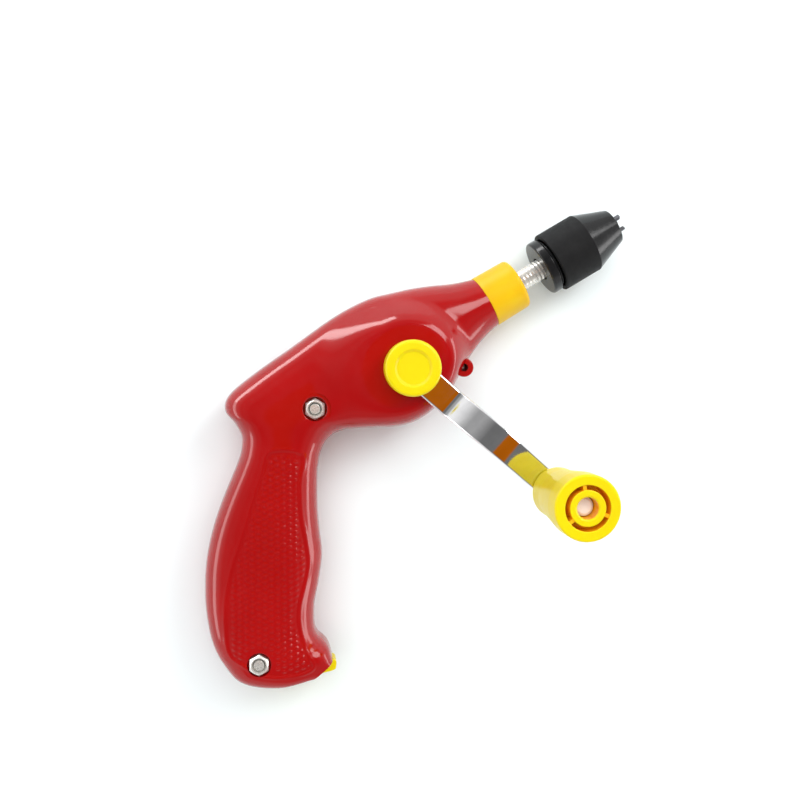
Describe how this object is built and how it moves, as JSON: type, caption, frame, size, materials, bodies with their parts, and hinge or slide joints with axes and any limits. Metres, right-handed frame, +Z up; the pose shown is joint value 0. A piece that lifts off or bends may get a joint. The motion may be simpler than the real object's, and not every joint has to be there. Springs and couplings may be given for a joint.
{
  "type": "hand-cranked toy pistol drill",
  "caption": "Pistol-grip toy hand drill with a side crank and turning knob, gear train, threaded spindle, jaw chuck and a storage door in the butt.",
  "frame": {"origin": "where the crank axis meets the flat of the left hub boss that the drill lies on", "axes": "+Z up along the crank axis, towards the crank; +X along the spindle, towards the chuck; +Y towards the top of the drill"},
  "size_m": [0.2194, 0.1162, 0.0916],
  "materials": {
    "red_plastic": "glossy moulded red plastic, with a panel of small raised bumps on each side of the grip",
    "yellow_plastic": "semi-gloss moulded yellow plastic",
    "black_plastic": "satin black plastic, glossier on the nose cone",
    "chrome": "bright chrome plate on flat steel",
    "bright_steel": "zinc-bright machined steel",
    "brass": "machined brass",
    "white_nylon": "natural white nylon"
  },
  "bodies": {
    "housing": {"left_shell": "red_plastic", "right_shell": "red_plastic", "nose_collar": "yellow_plastic", "rear_bolt": "bright_steel", "rear_nut": "bright_steel", "butt_bolt": "bright_steel", "butt_nut": "bright_steel", "lug_screw": "bright_steel", "shaft_bush_right": "white_nylon", "shaft_bush_left": "white_nylon", "rear_spindle_bush": "brass", "front_spindle_bush": "brass"},
    "crank": {"crank_arm": "chrome", "drive_shaft": "bright_steel", "crank_gear": "white_nylon", "crank_washer": "bright_steel", "crank_stub": "bright_steel", "crank_screw": "bright_steel", "hub_cap": "yellow_plastic", "knob_pin": "bright_steel", "knob_washer": "bright_steel"},
    "knob": {"knob": "yellow_plastic"},
    "layshaft": {"layshaft": "bright_steel", "lay_pinion": "brass", "lay_bevel_gear": "brass"},
    "spindle": {"spindle": "bright_steel", "spindle_pinion": "brass", "spindle_circlip": "bright_steel", "thrust_washer": "bright_steel", "chuck_body": "black_plastic"},
    "chuck_sleeve": {"chuck_sleeve": "black_plastic", "chuck_nut": "brass"},
    "jaw_1": {"jaw_1": "bright_steel"},
    "jaw_2": {"jaw_2": "bright_steel"},
    "jaw_3": {"jaw_3": "bright_steel"},
    "storage_door": {"storage_door": "yellow_plastic"}
  },
  "joints": [
    {"name": "crank_spin", "type": "hinge", "parent": "housing", "child": "crank", "pos_m": [0, 0, 0], "axis": [0, 0, 1], "continuous": true},
    {"name": "lay_spin", "type": "hinge", "parent": "housing", "child": "layshaft", "pos_m": [0.01584, 0.0056, 0.017], "axis": [0, 0, 1], "continuous": true},
    {"name": "spindle_spin", "type": "hinge", "parent": "housing", "child": "spindle", "pos_m": [0.04, 0.0056, 0.017], "axis": [1, 0, 0], "continuous": true},
    {"name": "knob_spin", "type": "hinge", "parent": "crank", "child": "knob", "pos_m": [0.02146, -0.06452, 0.07], "axis": [0, 0, 1], "continuous": true},
    {"name": "sleeve_turn", "type": "hinge", "parent": "spindle", "child": "chuck_sleeve", "pos_m": [0.08, 0.0056, 0.017], "axis": [1, 0, 0], "range_deg": [-720, 1320]},
    {"name": "door_swing", "type": "hinge", "parent": "housing", "child": "storage_door", "pos_m": [-0.1054, -0.0747, 0.017], "axis": [0, 0, 1], "range_deg": [-80, 0]},
    {"name": "jaw_1_slide", "type": "slide", "parent": "spindle", "child": "jaw_1", "axis": [0.9744, -0.1645, -0.1534], "range_m": [-0.003, 0.0055]},
    {"name": "jaw_2_slide", "type": "slide", "parent": "spindle", "child": "jaw_2", "axis": [0.9744, 0.2151, -0.0658], "range_m": [-0.003, 0.0055]},
    {"name": "jaw_3_slide", "type": "slide", "parent": "spindle", "child": "jaw_3", "axis": [0.9744, -0.0506, 0.2192], "range_m": [-0.003, 0.0055]}
  ],
  "couplings": [
    {"joint": "lay_spin", "follows": "crank_spin", "ratio": -2.5},
    {"joint": "spindle_spin", "follows": "crank_spin", "ratio": -4.1667},
    {"joint": "jaw_1_slide", "follows": "sleeve_turn", "m_per_rad": 0.00023873},
    {"joint": "jaw_2_slide", "follows": "sleeve_turn", "m_per_rad": 0.00023873},
    {"joint": "jaw_3_slide", "follows": "sleeve_turn", "m_per_rad": 0.00023873}
  ]
}
